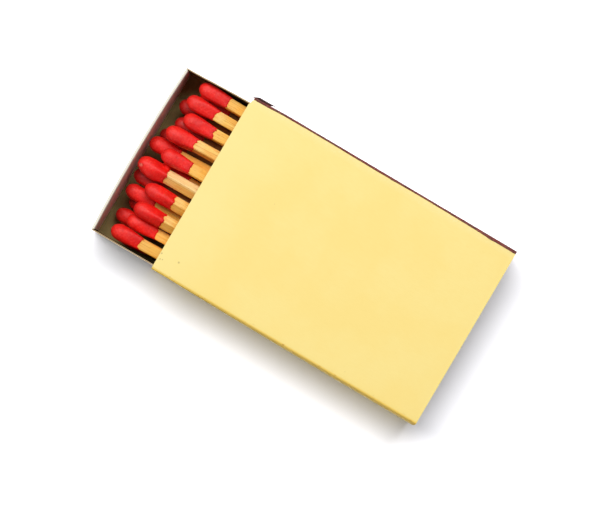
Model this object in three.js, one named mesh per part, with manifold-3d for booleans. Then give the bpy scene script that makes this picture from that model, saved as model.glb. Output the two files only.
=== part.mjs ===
// A slide-open matchbox: a folded card sleeve with a friction strip on one long side, a folded card tray
// drawn part of the way out of it, and rows of wooden matches with dipped heads lying in the tray.
// Millimetres, +Z up. The origin is the middle of the sleeve's bottom face, and the tray is drawn out along +X.
import * as THREE from "three";
import { mergeVertices } from "three/addons/utils/BufferGeometryUtils.js";
import Module from "manifold-3d";

const wasm = await Module();
wasm.setup();

// Sleeve: one strip of card, folded four times and lapped on the side at -Y
const SLEEVE_CARD = 0.4;
const FOLD_RADIUS = 0.9; // outside of a fold
const FOLD_STEPS = 5; // facets in a quarter turn
const GLUE_LINE = 0.1; // between the two layers of the lap
const FLAP_SHORTFALL = 2; // from the top panel to the edge of the lap's inner layer
const LAP_LIFT = 0.6; // from the bottom face to the edge of the lap's outer layer

// Friction strip: a coat on the lap's outer layer and over the start of its top fold
const STRIKER_COAT = 0.15;
const STRIKER_BOND = 0.05; // between the coat and the card
const STRIKER_MARGIN = 0.4; // bare card below the coat
const STRIKER_WRAP = THREE.MathUtils.degToRad(50); // how far it turns round the top fold

// Tray: one blank of thinner card, its end walls doubled by a panel folded down inside
const TRAY_CARD = 0.3;
const TRAY_FOLD_RADIUS = 0.6; // outside of the folds along the floor
const TRAY_SIDE_PLAY = 0.25; // to the sleeve, at each side
const TRAY_LIFT = 0.1; // to the sleeve, under the floor
const TRAY_HEADROOM = 0.5; // to the sleeve, over the rim
const TRAY_RECESS = 0.3; // of each end when the box is shut
const TRAY_OPENING = 12.7; // how far the front wall stands out of the sleeve
const LINER_PLAY = 0.3; // beside the panel folded down inside an end wall

// Matches: square sticks with a dipped head that is fullest near its tip
const MATCH_LENGTH = 43.2;
const STICK_WIDTH = 2;
const STICK_SETBACK = 0.7; // from a head's fullest ring back to the end of the stick inside it
const HEAD_LENGTH = 6;
const HEAD_NOSE = 1.9; // from the fullest ring to the tip
const HEAD_COAT = 0.45; // over the stick's flats at the fullest ring of a plain head
const HEAD_LIP = 0.25; // over the stick's flats at the head's lower edge
const HEAD_SIDES = 12;
const HEAD_BODY_STEPS = 3; // from the lower edge to the fullest ring
const HEAD_NOSE_STEPS = 4; // from the fullest ring to the tip
const LIP_SQUARENESS = 8; // exponent of the rounded square at the lower edge
const BULGE_SQUARENESS = 2.8; // and at the fullest ring
const BOND_GAP = 0.05; // between a stick and its head

// Room that the tray leaves the matches
const MATCH_GAP = 0.2; // least gap between matches, and between them and the tray
const MATCH_RUN = 8.6; // how far a match can shift along the tray
const ROW_PLAY = 1.77; // spare width beside the widest row
const RIM_MARGIN = 1.216; // from the top row's fullest head up to the rim

const HEAD = 0;
const TAIL = 1;
const ENDS = [HEAD, TAIL];

// The rows, from the tray's floor up, each listed from -Y to +Y. gap is the slack on a match's -Y side,
// at its head and at its tail; the last gap of a row is at the +Y wall. All of a row's gaps share out
// the width that is left. run is the share of MATCH_RUN in front of the tip, roll is in degrees,
// full is how thick the head's coat is beside a plain one, and lift, where given, is how far the head
// is propped up off the row's bed.
const ROWS = [
  {
    matches: [
      { gap: [0.5, 1.2], run: 0.4, roll: 3, full: 1 },
      { gap: [0.1, 0.7], run: 0.43, roll: -4, full: 0.95 },
      { gap: [0.1, 0.8], run: 0.33, roll: 2, full: 1 },
      { gap: [0.17, 0.6], run: 0.07, roll: -3, full: 1 },
      { gap: [0.05, 0.9], run: 0.42, roll: 0, full: 0.95 },
      { gap: [0.06, 0.7], run: 0.3, roll: 4, full: 1 },
      { gap: [0.16, 0.8], run: 0.41, roll: -2, full: 1 },
      { gap: [0.55, 1], run: 0.23, roll: 3, full: 1 },
      { gap: [0.03, 0.7], run: 0.13, roll: 0, full: 1 },
      { gap: [0.04, 0.8], run: 0.44, roll: -3, full: 0.95 },
    ],
    lastGap: [0.02, 1.1],
  },
  {
    matches: [
      { gap: [0.93, 1.5], run: 0.42, roll: 3, full: 1 },
      { gap: [0.06, 1], run: 0.13, roll: -3, full: 1 },
      { gap: [0.06, 0.9], run: 0.24, roll: 4, full: 1 },
      { gap: [2.24, 1.1], run: 0, roll: 2, full: 1.05, lift: 0.8 },
      { gap: [0.08, 2.3], run: 0.43, roll: -4, full: 0.95 },
      { gap: [0.02, 1], run: 0.05, roll: 3, full: 1 },
      { gap: [0.02, 0.9], run: 0.07, roll: 0, full: 1 },
      { gap: [1.5, 2], run: 0.41, roll: -2, full: 1, lift: 1.1 },
      { gap: [0.02, 0.8], run: 0.42, roll: 4, full: 0.95 },
    ],
    lastGap: [0.03, 1.5],
  },
  {
    matches: [
      { gap: [0.02, 0.53], run: 0.33, roll: 4, full: 0.85, lift: 0.9 },
      { gap: [0.02, 0.33], run: 0.24, roll: -3, full: 0.9, lift: 0.8 },
      { gap: [0.12, 0.2], run: 0.37, roll: 6, full: 0.95, lift: 0.9 },
      { gap: [0.25, 0.63], run: 0.19, roll: 15, full: 1.1, lift: 0.7 },
      { gap: [0.72, 2.36], run: 0.35, roll: 4, full: 1, lift: 0.9 },
      { gap: [0.08, 0.17], run: 0.02, roll: 50, full: 1 },
      { gap: [0.12, 0.93], run: 0.41, roll: 43, full: 0.9 },
      { gap: [0.61, 0.13], run: 0.42, roll: 48, full: 0.9 },
      { gap: [2.26, 2.51], run: 0.25, roll: -5, full: 1.1 },
    ],
    lastGap: [0.11, 1.77],
  },
];

// The box is made round the matches that it holds: first the tray's bay, then the tray, then the sleeve
const HEAD_BODY = HEAD_LENGTH - HEAD_NOSE;
const STICK_COVER = HEAD_NOSE + STICK_SETBACK; // from a head's tip to the end of the stick inside it
const BAY_LENGTH = MATCH_LENGTH + MATCH_RUN + 2 * MATCH_GAP;
const BAY_WIDTH = Math.max(...ROWS.map((row) => widthNeeded(row.matches, HEAD))) + ROW_PLAY;
const BAY_DEPTH = total(ROWS.map((row) => MATCH_GAP + thickness(row.matches, HEAD))) + RIM_MARGIN;
const END_WALL = 2 * TRAY_CARD;
const TRAY_LENGTH = BAY_LENGTH + 2 * END_WALL;
const TRAY_WIDTH = BAY_WIDTH + 2 * TRAY_CARD;
const TRAY_HEIGHT = BAY_DEPTH + TRAY_CARD;
const LAP = 2 * SLEEVE_CARD + GLUE_LINE;
const SLEEVE_LENGTH = TRAY_LENGTH + 2 * TRAY_RECESS;
const SLEEVE_WIDTH = LAP + TRAY_WIDTH + 2 * TRAY_SIDE_PLAY + SLEEVE_CARD;
const SLEEVE_HEIGHT = TRAY_HEIGHT + TRAY_LIFT + TRAY_HEADROOM + 2 * SLEEVE_CARD;

const CARD_YELLOW = { color: 0xffe590, roughness: 0.6, metalness: 0 };
const FRICTION_BROWN = { color: 0x6b4038, roughness: 0.9, metalness: 0 };
const CARD_GREY = { color: 0xc9bca8, roughness: 0.85, metalness: 0 };
const PALE_WOOD = { color: 0xf0cd7c, roughness: 0.7, metalness: 0 };
const HEAD_RED = { color: 0xd62a28, roughness: 0.65, metalness: 0 };

function mesh(name, geometry, look) {
  const made = new THREE.Mesh(geometry, new THREE.MeshStandardMaterial(look));
  made.name = name;
  return made;
}

// Headings of an arc's ends, in quarter turns
const RIGHT = 0;
const UP = 1;
const LEFT = 2;
const DOWN = 3;
const RIGHT_AGAIN = 4;

// Points of an arc about (cx, cy) from one heading to another
function arc(cx, cy, radius, from, to) {
  const steps = Math.ceil(Math.abs(to - from) * FOLD_STEPS);
  return Array.from({ length: steps + 1 }, (_, i) => {
    const angle = ((from + ((to - from) * i) / steps) * Math.PI) / 2;
    return new THREE.Vector2(cx + radius * Math.cos(angle), cy + radius * Math.sin(angle));
  });
}

function extrude(outline, depth) {
  return new THREE.ExtrudeGeometry(new THREE.Shape(outline), { depth, bevelEnabled: false });
}

// A prism along X, from an outline in Y and Z
function prismAlongX(outline, start, end) {
  return extrude(outline, end - start)
    .rotateX(Math.PI / 2)
    .rotateZ(Math.PI / 2)
    .translate(start, 0, 0);
}

// A prism along Y about Y = 0, from an outline in X and Z
function prismAlongY(outline, width) {
  return extrude(outline, width)
    .rotateX(Math.PI / 2)
    .translate(0, width / 2, 0);
}

function solidOf(geometry) {
  const bare = new THREE.BufferGeometry();
  bare.setAttribute("position", geometry.getAttribute("position"));
  bare.setIndex(geometry.index);
  const merged = mergeVertices(bare);
  return new wasm.Manifold(
    new wasm.Mesh({
      numProp: 3,
      vertProperties: merged.getAttribute("position").array,
      triVerts: new Uint32Array(merged.index.array),
    }),
  );
}

function geometryOf(solid) {
  const { vertProperties, triVerts } = solid.getMesh();
  const geometry = new THREE.BufferGeometry();
  geometry.setAttribute("position", new THREE.BufferAttribute(vertProperties, 3));
  geometry.setIndex(new THREE.BufferAttribute(triVerts, 1));
  geometry.computeVertexNormals();
  return geometry;
}

// The strip's section: out along its outer face from the lap's inner layer to its outer one, and back inside
function sleeveOutline() {
  const side = SLEEVE_WIDTH / 2;
  const flap = -side + SLEEVE_CARD + GLUE_LINE;
  const flapTop = SLEEVE_HEIGHT - SLEEVE_CARD - FLAP_SHORTFALL;
  const inner = FOLD_RADIUS - SLEEVE_CARD;
  const low = FOLD_RADIUS;
  const high = SLEEVE_HEIGHT - FOLD_RADIUS;
  const left = -side + FOLD_RADIUS;
  const right = side - FOLD_RADIUS;
  const flapFold = flap + FOLD_RADIUS;
  return [
    new THREE.Vector2(flap, flapTop),
    ...arc(flapFold, low, FOLD_RADIUS, LEFT, DOWN),
    ...arc(right, low, FOLD_RADIUS, DOWN, RIGHT_AGAIN),
    ...arc(right, high, FOLD_RADIUS, RIGHT, UP),
    ...arc(left, high, FOLD_RADIUS, UP, LEFT),
    new THREE.Vector2(-side, LAP_LIFT),
    new THREE.Vector2(-side + SLEEVE_CARD, LAP_LIFT),
    ...arc(left, high, inner, LEFT, UP),
    ...arc(right, high, inner, UP, RIGHT),
    ...arc(right, low, inner, RIGHT_AGAIN, DOWN),
    ...arc(flapFold, low, inner, DOWN, LEFT),
    new THREE.Vector2(flap + SLEEVE_CARD, flapTop),
  ];
}

function makeSleeve() {
  const outline = sleeveOutline();
  return mesh("sleeve", prismAlongX(outline, -SLEEVE_LENGTH / 2, SLEEVE_LENGTH / 2), CARD_YELLOW);
}

function makeStriker() {
  const back = FOLD_RADIUS + STRIKER_BOND;
  const front = back + STRIKER_COAT;
  const foldY = -SLEEVE_WIDTH / 2 + FOLD_RADIUS;
  const foldZ = SLEEVE_HEIGHT - FOLD_RADIUS;
  const bottom = LAP_LIFT + STRIKER_MARGIN;
  const wrapEnd = LEFT - STRIKER_WRAP / (Math.PI / 2);
  const outline = [
    new THREE.Vector2(foldY - front, bottom),
    new THREE.Vector2(foldY - back, bottom),
    ...arc(foldY, foldZ, back, LEFT, wrapEnd),
    ...arc(foldY, foldZ, front, wrapEnd, LEFT),
  ];
  return mesh("striker_strip", prismAlongX(outline, -SLEEVE_LENGTH / 2, SLEEVE_LENGTH / 2), FRICTION_BROWN);
}

// The tray's outside, seen from an end, up to the given height
function trayBasin(inset, height) {
  const side = TRAY_WIDTH / 2;
  const fold = side - TRAY_FOLD_RADIUS;
  const radius = TRAY_FOLD_RADIUS - inset;
  return [
    new THREE.Vector2(-side + inset, height),
    ...arc(-fold, TRAY_FOLD_RADIUS, radius, LEFT, DOWN),
    ...arc(fold, TRAY_FOLD_RADIUS, radius, DOWN, RIGHT_AGAIN),
    new THREE.Vector2(side - inset, height),
  ];
}

// An end wall: its outer layer, and the panel folded over the top and down inside
function endWall(sign) {
  const outside = sign * (TRAY_LENGTH / 2);
  const between = sign * (TRAY_LENGTH / 2 - TRAY_CARD);
  const inside = sign * (TRAY_LENGTH / 2 - END_WALL);
  const foldHeight = TRAY_HEIGHT - TRAY_CARD;
  const root = TRAY_CARD / 2; // inside the floor, which it joins
  const layer = prismAlongX(
    trayBasin(0, foldHeight),
    Math.min(outside, between),
    Math.max(outside, between),
  );
  const liner = [
    new THREE.Vector2(inside, root),
    new THREE.Vector2(outside, root),
    ...(sign > 0
      ? arc(between, foldHeight, TRAY_CARD, RIGHT, LEFT)
      : arc(between, foldHeight, TRAY_CARD, LEFT, RIGHT)),
  ];
  return solidOf(layer).add(solidOf(prismAlongY(liner, BAY_WIDTH - 2 * LINER_PLAY)));
}

function makeTray() {
  const trough = [...trayBasin(0, TRAY_HEIGHT), ...trayBasin(TRAY_CARD, TRAY_HEIGHT).reverse()];
  const channel = solidOf(prismAlongX(trough, -TRAY_LENGTH / 2, TRAY_LENGTH / 2));
  return mesh("tray", geometryOf(channel.add(endWall(1)).add(endWall(-1))), CARD_GREY);
}

// A rounded square in Y and Z; squareness 2 is round and a large one is square
function roundedSquare(half, squareness) {
  const bend = (part) => Math.sign(part) * Math.abs(part) ** (2 / squareness);
  return Array.from({ length: HEAD_SIDES }, (_, i) => {
    const angle = (2 * Math.PI * i) / HEAD_SIDES;
    return new THREE.Vector2(half * bend(Math.cos(angle)), half * bend(Math.sin(angle)));
  });
}

function bulgeSection(full) {
  return roundedSquare(STICK_WIDTH / 2 + HEAD_COAT * full, BULGE_SQUARENESS);
}

function stickSection() {
  const half = STICK_WIDTH / 2;
  return [new THREE.Vector2(half, half), new THREE.Vector2(half, -half)];
}

// A head's rings from its lower edge towards its tip, which is at X = 0
function headRings(full) {
  const lip = STICK_WIDTH / 2 + HEAD_LIP;
  const bulge = STICK_WIDTH / 2 + HEAD_COAT * full;
  const rings = [];
  for (let i = 0; i < HEAD_BODY_STEPS; i++) {
    const share = i / HEAD_BODY_STEPS;
    const half = THREE.MathUtils.lerp(lip, bulge, Math.sin((share * Math.PI) / 2));
    const squareness = THREE.MathUtils.lerp(LIP_SQUARENESS, BULGE_SQUARENESS, share);
    rings.push({ x: share * HEAD_BODY - HEAD_LENGTH, points: roundedSquare(half, squareness) });
  }
  for (let i = 0; i < HEAD_NOSE_STEPS; i++) {
    const angle = ((i / HEAD_NOSE_STEPS) * Math.PI) / 2;
    const points = roundedSquare(bulge * Math.cos(angle), BULGE_SQUARENESS);
    rings.push({ x: HEAD_NOSE * (Math.sin(angle) - 1), points });
  }
  return rings;
}

// The closed skin over those rings, from a point at the lower edge to the tip
function headSkin(rings) {
  const positions = [-HEAD_LENGTH, 0, 0];
  for (const { x, points } of rings) for (const point of points) positions.push(x, point.x, point.y);
  const tip = positions.length / 3;
  positions.push(0, 0, 0);
  const at = (ring, side) => 1 + ring * HEAD_SIDES + (side % HEAD_SIDES);
  const last = rings.length - 1;
  const triangles = [];
  for (let side = 0; side < HEAD_SIDES; side++) {
    triangles.push(0, at(0, side + 1), at(0, side));
    for (let ring = 0; ring < last; ring++) {
      triangles.push(at(ring, side), at(ring, side + 1), at(ring + 1, side));
      triangles.push(at(ring, side + 1), at(ring + 1, side + 1), at(ring + 1, side));
    }
    triangles.push(at(last, side), at(last, side + 1), tip);
  }
  const geometry = new THREE.BufferGeometry();
  geometry.setAttribute("position", new THREE.Float32BufferAttribute(positions, 3));
  geometry.setIndex(triangles);
  return geometry;
}

// A square bar along X
function bar(start, end, width) {
  return new THREE.BoxGeometry(end - start, width, width).translate((start + end) / 2, 0, 0);
}

function makeHead(name, full) {
  const socket = bar(-HEAD_LENGTH - HEAD_LIP, BOND_GAP - STICK_COVER, STICK_WIDTH + 2 * BOND_GAP);
  const coat = solidOf(headSkin(headRings(full))).subtract(solidOf(socket));
  return mesh(name, geometryOf(coat), HEAD_RED);
}

function makeStick(name) {
  return mesh(name, bar(-MATCH_LENGTH, -STICK_COVER, STICK_WIDTH), PALE_WOOD);
}

// How far a section reaches from its axis, either way, in a direction given as an angle
function reach(section, angle) {
  return Math.max(...section.map((p) => Math.abs(p.x * Math.cos(angle) + p.y * Math.sin(angle))));
}

// A match's reach across the tray and upwards, at its head and at its tail
function reaches({ roll, full }) {
  const turn = THREE.MathUtils.degToRad(roll);
  return [bulgeSection(full), stickSection()].map((section) => ({
    across: reach(section, -turn),
    up: reach(section, Math.PI / 2 - turn),
  }));
}

function total(values) {
  return values.reduce((sum, value) => sum + value, 0);
}

// How thick a row lies at one of its ends
function thickness(matches, end) {
  return Math.max(...matches.map((match) => 2 * reaches(match)[end].up));
}

// The width that a row needs at one of its ends
function widthNeeded(matches, end) {
  return total(matches.map((match) => 2 * reaches(match)[end].across)) + (matches.length + 1) * MATCH_GAP;
}

// The places of a row's matches across the bay at one end, with the width that is left shared out as slack
function placesAcross(matches, lastGap, end) {
  const slack = [...matches.map((match) => match.gap[end]), lastGap[end]];
  const share = (BAY_WIDTH - widthNeeded(matches, end)) / total(slack);
  let edge = -BAY_WIDTH / 2;
  return matches.map((match, i) => {
    const half = reaches(match)[end].across;
    const centre = edge + MATCH_GAP + slack[i] * share + half;
    edge = centre + half;
    return centre;
  });
}

// A match whose axis runs from its tail to its tip, both in the tray's frame
function makeMatch(number, { roll, full }, tail, tip) {
  const label = "match_" + String(number).padStart(2, "0");
  const along = tip.clone().sub(tail).normalize();
  const match = new THREE.Group();
  match.add(makeStick(label + "_stick"), makeHead(label + "_head", full));
  match.position.copy(tip);
  match.rotation.set(
    THREE.MathUtils.degToRad(roll),
    -Math.asin(along.z),
    Math.atan2(along.y, along.x),
    "ZYX",
  );
  return match;
}

// Rows of matches, each on a bed that rises towards the heads because they are thicker than the sticks
function layMatches(tray) {
  const bulgeStation = BAY_LENGTH / 2 - MATCH_GAP - HEAD_NOSE;
  const tailStation = -BAY_LENGTH / 2 + MATCH_GAP;
  const bed = [TRAY_CARD + MATCH_GAP, TRAY_CARD + MATCH_GAP];
  let number = 1;
  for (const { matches, lastGap } of ROWS) {
    const slope = (bed[HEAD] - bed[TAIL]) / (bulgeStation - tailStation);
    const places = ENDS.map((end) => placesAcross(matches, lastGap, end));
    matches.forEach((match, i) => {
      const [head, stick] = reaches(match);
      const { lift = 0 } = match;
      const tipX = BAY_LENGTH / 2 - MATCH_GAP - match.run * MATCH_RUN;
      const tailX = tipX - MATCH_LENGTH;
      const bulgeX = tipX - HEAD_NOSE;
      const bedAt = (x) => bed[TAIL] + slope * (x - tailStation);
      const tail = new THREE.Vector3(tailX, places[TAIL][i], bedAt(tailX) + stick.up);
      const bulge = new THREE.Vector3(bulgeX, places[HEAD][i], bedAt(bulgeX) + head.up + lift);
      const tip = tail.clone().lerp(bulge, MATCH_LENGTH / (MATCH_LENGTH - HEAD_NOSE));
      tray.add(makeMatch(number, match, tail, tip));
      number += 1;
    });
    for (const end of ENDS) bed[end] += thickness(matches, end) + MATCH_GAP;
  }
}

function makeDrawer() {
  const drawer = new THREE.Group();
  drawer.position.set(
    SLEEVE_LENGTH / 2 + TRAY_OPENING - TRAY_LENGTH / 2,
    (LAP - SLEEVE_CARD) / 2,
    SLEEVE_CARD + TRAY_LIFT,
  );
  drawer.add(makeTray());
  layMatches(drawer);
  return drawer;
}

const matchbox = new THREE.Group();
matchbox.add(makeSleeve(), makeStriker(), makeDrawer());

export default matchbox;
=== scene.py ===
import math

import bpy
import numpy as np
from mathutils import Matrix, Vector


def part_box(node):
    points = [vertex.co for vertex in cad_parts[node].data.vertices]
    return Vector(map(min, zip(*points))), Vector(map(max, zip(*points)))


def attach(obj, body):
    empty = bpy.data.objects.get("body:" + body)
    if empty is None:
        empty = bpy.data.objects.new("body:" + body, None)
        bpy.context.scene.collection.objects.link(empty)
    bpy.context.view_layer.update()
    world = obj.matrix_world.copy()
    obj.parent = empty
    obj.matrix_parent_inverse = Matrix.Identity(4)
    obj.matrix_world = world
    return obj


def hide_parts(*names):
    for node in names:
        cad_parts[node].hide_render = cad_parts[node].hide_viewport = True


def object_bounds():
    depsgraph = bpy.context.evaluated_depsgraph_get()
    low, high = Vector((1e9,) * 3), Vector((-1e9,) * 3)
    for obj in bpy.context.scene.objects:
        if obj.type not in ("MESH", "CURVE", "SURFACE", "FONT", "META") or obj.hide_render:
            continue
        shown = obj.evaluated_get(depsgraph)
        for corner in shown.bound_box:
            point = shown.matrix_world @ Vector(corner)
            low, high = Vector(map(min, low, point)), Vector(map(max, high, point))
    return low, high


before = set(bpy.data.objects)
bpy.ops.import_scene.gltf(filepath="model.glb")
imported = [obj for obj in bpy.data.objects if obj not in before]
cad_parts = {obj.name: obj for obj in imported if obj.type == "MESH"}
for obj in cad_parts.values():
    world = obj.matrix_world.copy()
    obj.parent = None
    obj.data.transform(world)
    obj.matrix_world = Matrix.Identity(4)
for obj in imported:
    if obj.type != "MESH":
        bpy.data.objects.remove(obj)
CAD_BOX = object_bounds()
MM = 0.001

# Sleeve card. Sizes are in millimetres, except the last ones for the floor and the lamps
SLEEVE_TOP = 12.5
SLEEVE_CARD = 0.4
SLEEVE_FOLD = 0.55
LAP_GLUE = 0.1
LAP_INNER_SHORTFALL = 2.0
LAP_OUTER_LIFT = 0.6
PLAIN_SIDE_FOLD = 0.5
SIDE_BELLY = 0.42
COATED_SIDE_BELLY = 0.31
TOP_CROWN = 0.1
MOUTH_WEAR = 0.4
MOUTH_PINCH = 0.2
SLEEVE_STATIONS = 55
SLEEVE_STEP = 1.1

# Specks on the sleeve's top: place along it, place across it, and reach
SPECKS = ((26.75, 14.3, 0.22), (26.5, 15.3, 0.2), (26.1, 15.2, 0.16), (23.35, 14.2, 0.26))

# Friction coat
COAT = 0.15
COAT_BOND = 0.05
COAT_MARGIN = 0.4
COAT_WRAP = math.radians(59)
COAT_NICKS = (-1.7, -21.8)
FLAKE_LENGTH = 4.5
FLAKE_STANDS_OUT = 0.64
FLAKE_CELLS = 6
FLAKE_STATIONS = 18
COAT_STATIONS = 90
COAT_STEP = 0.5

# Tray card
TRAY_CARD = 0.26
TRAY_END_CARD = TRAY_CARD * 0.94
TRAY_SIDE_CARD = 0.2
TRAY_FOLD = 0.6
BASE_FLAP = 0.4
FRONT_BOW = 0.4
BACK_BOW = 0.3
CORNER_DRAW = 0.1
COATED_SIDE_LEAN = 0.42
PLAIN_SIDE_LEAN = 0.06
FRONT_LINER_LEAN = 0.16
BACK_LINER_LEAN = 0.2
LINER_PLAY = 0.1
TRAY_STATIONS = 48
TRAY_STEP = 1.0
TRAY_END_STATIONS = 41
TRAY_END_STEP = 0.9

# Matches
STICK_WIDTH = 2.0
HEAD_LENGTH = 6.0
HEAD_NOSE = 1.9
HEAD_LIP = 0.1
STICK_STOPS_SHORT = 2.6
ROW_HEIGHTS = (2.2, 4.5)
SEAM = 0.002

# Matches that differ, by number. Low sticks are painted darker as painted shade, except the listed ones
# that lie in light, which are tinted golden; the listed heads are painted darker as painted shade. The
# odd one has a cream stick and a fuller head with a chip and a drip
LAST_LOW_MATCH = 19
LIGHT_LOW_MATCHES = (14, 15, 17, 18)
GOLDEN_MATCHES = (20, 22, 24, 28)
SHADED_HEADS = (4, 8, 12, 13, 16)
ODD_MATCH = 25
CHIP_PLACE = (-0.75, -0.3, 1.1)
DRIP_PLACE = (-5.0, -1.2, -1.0)
BULGE_PLACE = (-3.2, 1.1, 1.0)

# Finishes of the faces of a sheet of card, by their place in the list of materials
OUTER, INNER, CUT = 0, 1, 2

# The floor and the lamps, in metres
FLOOR_REACH = 1.6
FLOOR_DROP = 0.00002
LAMP_AIM = Vector((0.01, 0.0, 0.006))

# The photograph's frame and the camera that fits it
IMAGE_WIDTH = 612
FOCAL_PIXELS = 2277.9
CAMERA_PLACE = Vector((17.0, 13.0, 412.5)) * MM
CAMERA_AIM = Vector((4.99, 1.38, 12.5)) * MM
IMAGE_UP = math.radians(-59.43)
SENSOR = 36.0


def paint(red, green, blue):
    """A colour written as screen values from 0 to 255, as a shader takes it."""
    def linear(value):
        share = value / 255
        return share / 12.92 if share <= 0.04045 else ((share + 0.055) / 1.055) ** 2.4
    return (linear(red), linear(green), linear(blue), 1.0)


class Wire:
    """A node's output. Sums on it add Math nodes to its recipe."""

    def __init__(self, recipe, socket):
        self.recipe = recipe
        self.socket = socket

    def out(self, key):
        return Wire(self.recipe, self.socket.node.outputs[key])

    def sum(self, operation, *terms):
        return self.recipe.node("ShaderNodeMath", {"operation": operation}, dict(enumerate(terms)))

    def __add__(self, other):
        return self.sum("ADD", self, other)

    def __radd__(self, other):
        return self.sum("ADD", other, self)

    def __sub__(self, other):
        return self.sum("SUBTRACT", self, other)

    def __rsub__(self, other):
        return self.sum("SUBTRACT", other, self)

    def __mul__(self, other):
        return self.sum("MULTIPLY", self, other)

    def __rmul__(self, other):
        return self.sum("MULTIPLY", other, self)

    def __truediv__(self, other):
        return self.sum("DIVIDE", self, other)

    def __rtruediv__(self, other):
        return self.sum("DIVIDE", other, self)

    def __pow__(self, other):
        return self.sum("POWER", self, other)

    def __neg__(self):
        return self.sum("MULTIPLY", self, -1.0)

    def __abs__(self):
        return self.sum("ABSOLUTE", self)

    def at_least(self, other):
        return self.sum("MAXIMUM", self, other)

    def at_most(self, other):
        return self.sum("MINIMUM", self, other)

    def sine(self):
        return self.sum("SINE", self)

    def cosine(self):
        return self.sum("COSINE", self)

    def fraction(self):
        return self.sum("FRACT", self)

    def above(self, other):
        return self.sum("GREATER_THAN", self, other)

    def smooth(self, low, high):
        """0 below low and 1 above high, with a soft step between them."""
        settings = {"interpolation_type": "SMOOTHSTEP"}
        sockets = {0: self, 1: low, 2: high, 3: 0.0, 4: 1.0}
        return self.recipe.node("ShaderNodeMapRange", settings, sockets)

    def is_number(self, number):
        """1 where a match has this number, 0 on the others."""
        return 1 - abs(self - number).smooth(0.2, 0.4)


class Recipe:
    """A node tree that is being written, for a finish or for a shape."""

    def __init__(self, tree):
        self.tree = tree

    def node(self, kind, settings=None, sockets=None):
        made = self.tree.nodes.new(kind)
        for name, value in (settings or {}).items():
            setattr(made, name, value)
        for key, value in (sockets or {}).items():
            if isinstance(value, Wire):
                self.tree.links.new(value.socket, made.inputs[key])
            else:
                made.inputs[key].default_value = value
        return Wire(self, made.outputs[0]) if made.outputs else None

    def vector(self, operation, *terms, **named):
        sockets = dict(enumerate(terms))
        sockets.update(named)
        return self.node("ShaderNodeVectorMath", {"operation": operation}, sockets)

    def joined(self, x, y, z):
        return self.node("ShaderNodeCombineXYZ", None, {0: x, 1: y, 2: z})

    def parts(self, vector):
        split = self.node("ShaderNodeSeparateXYZ", None, {0: vector})
        return split.out(0), split.out(1), split.out(2)

    def stretched(self, vector, x, y, z):
        return self.vector("MULTIPLY", vector, (x, y, z))

    def distance(self, first, second):
        return self.vector("DISTANCE", first, second).out("Value")

    def noise(self, vector, scale, detail=2.0, roughness=0.5):
        sockets = {"Vector": vector, "Scale": scale, "Detail": detail, "Roughness": roughness}
        return self.node("ShaderNodeTexNoise", None, sockets)

    def mixed(self, share, first, second, blend="MIX"):
        settings = {"data_type": "RGBA", "blend_type": blend}
        return self.node("ShaderNodeMix", settings, {0: share, 6: first, 7: second}).out(2)

    def attribute(self, name):
        return self.node("ShaderNodeAttribute", {"attribute_name": name})

    def millimetres(self):
        place = self.node("ShaderNodeTexCoord").out("Object")
        return self.vector("SCALE", place, Scale=1 / MM)

    def bump(self, height, distance):
        sockets = {"Height": height, "Distance": distance * MM, "Strength": 1.0}
        return self.node("ShaderNodeBump", None, sockets)

    def seen_directly(self):
        """1 for rays from the camera and for rays that a mirror or glass sends on, 0 for the rest."""
        rays = self.node("ShaderNodeLightPath")
        seen = rays.out("Is Camera Ray").at_least(rays.out("Is Glossy Ray"))
        return seen.at_least(rays.out("Is Transmission Ray"))

    def surface(self, sockets):
        shader = self.node("ShaderNodeBsdfPrincipled", None, sockets)
        self.node("ShaderNodeOutputMaterial", None, {"Surface": shader})


def new_finish(name):
    material = bpy.data.materials.new(name)
    material.use_nodes = True
    material.node_tree.nodes.clear()
    return material, Recipe(material.node_tree)


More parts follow.
